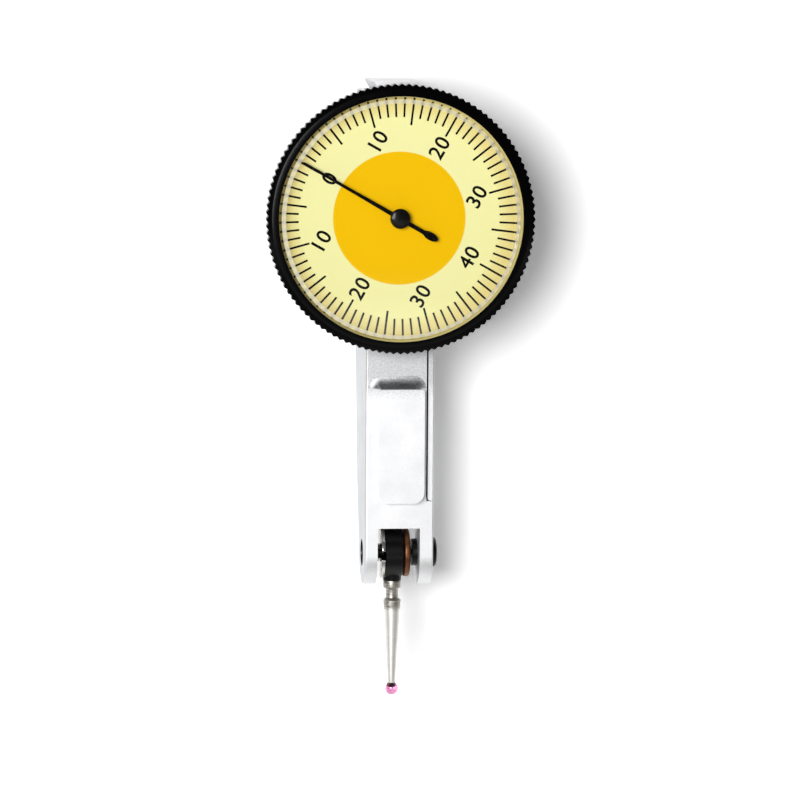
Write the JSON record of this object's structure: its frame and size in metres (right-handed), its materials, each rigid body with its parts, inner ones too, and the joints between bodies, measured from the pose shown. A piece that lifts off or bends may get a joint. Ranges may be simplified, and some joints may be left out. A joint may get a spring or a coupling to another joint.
{
  "type": "dial test indicator",
  "caption": "Lever-type dial test indicator with knurled turning bezel, jewelled gear train, ruby ball stylus and three dovetail mounting rails.",
  "frame": {"origin": "in the flat face of the back dovetail, under the dial's axis", "axes": "+Z from the back dovetail towards the dial and the viewer, +Y from the stylus towards the dial, +X to the right of the dial, along the axis that the stylus swings about"},
  "size_m": [0.04, 0.0933, 0.0265],
  "materials": {
    "satin_steel": "satin chrome",
    "bright_steel": "polished",
    "dark_steel": "blued, satin",
    "black_bezel": "black, satin",
    "dial_enamel": "matt printed",
    "pointer_black": "matt black",
    "clear_crystal": "clear",
    "ruby": "polished",
    "pale_ruby": "polished",
    "copper": "satin",
    "brass": "satin",
    "spring_steel": "satin",
    "soft_seal": "matt"
  },
  "bodies": {
    "case": {"body": "satin_steel", "side_cover": "satin_steel", "cover_screws": "bright_steel", "left_pivot_screw": "dark_steel", "right_pivot_bush": "dark_steel", "right_pivot_screw": "dark_steel", "limit_pins": "bright_steel", "dial_case": "black_bezel", "case_screws": "bright_steel", "bezel_friction_spring": "spring_steel", "centre_jewels": "pale_ruby", "hairspring": "spring_steel", "hairspring_stud": "brass", "arbor_jewels": "pale_ruby", "movement_bridge": "brass", "bridge_pillars": "brass", "bridge_screws": "bright_steel", "centre_cock": "brass", "cock_screw": "bright_steel"},
    "stylus": {"stylus_hub": "dark_steel", "stylus_shank": "bright_steel", "ruby_ball": "ruby"},
    "lever": {"lever": "bright_steel", "lever_axle": "dark_steel", "drive_pin": "bright_steel", "friction_washer": "copper", "clamp_nut": "dark_steel"},
    "sector": {"sector_gear": "brass", "sector_arbor": "bright_steel"},
    "crown": {"crown_wheel": "brass", "crown_arbor": "bright_steel"},
    "pointer": {"pointer": "pointer_black", "pointer_hub": "pointer_black", "centre_arbor": "bright_steel", "hairspring_collet": "brass"},
    "bezel": {"bezel": "black_bezel", "dial_retaining_ring": "brass", "dial_face": "dial_enamel", "dial_spacer_ring": "dial_enamel", "crystal": "clear_crystal", "crystal_gasket": "soft_seal"}
  },
  "joints": [
    {"name": "pointer_turn", "type": "hinge", "parent": "case", "child": "pointer", "pos_m": [0, 0, 0.0225], "axis": [0, 0, 1], "range_deg": [-190, 190], "stiffness_Nm_per_rad": 0.000015},
    {"name": "crown_turn", "type": "hinge", "parent": "case", "child": "crown", "pos_m": [0, 0, 0.0095], "axis": [1, 0, 0], "range_deg": [-29.72, 29.72]},
    {"name": "sector_swing", "type": "hinge", "parent": "case", "child": "sector", "pos_m": [0, -0.0091, 0.0095], "axis": [1, 0, 0], "range_deg": [-2.48, 2.48]},
    {"name": "lever_swing", "type": "hinge", "parent": "case", "child": "lever", "pos_m": [0, -0.0513, 0.0135], "axis": [1, 0, 0], "range_deg": [-1.16, 1.16]},
    {"name": "stylus_set", "type": "hinge", "parent": "lever", "child": "stylus", "pos_m": [0, -0.0513, 0.0135], "axis": [1, 0, 0], "range_deg": [-105, 105]},
    {"name": "bezel_turn", "type": "hinge", "parent": "case", "child": "bezel", "pos_m": [0, 0, 0.0225], "axis": [0, 0, 1], "continuous": true}
  ],
  "couplings": [
    {"joint": "crown_turn", "follows": "pointer_turn", "ratio": 0.15625},
    {"joint": "sector_swing", "follows": "pointer_turn", "ratio": -0.013021},
    {"joint": "lever_swing", "follows": "pointer_turn", "ratio": 0.0060921}
  ]
}
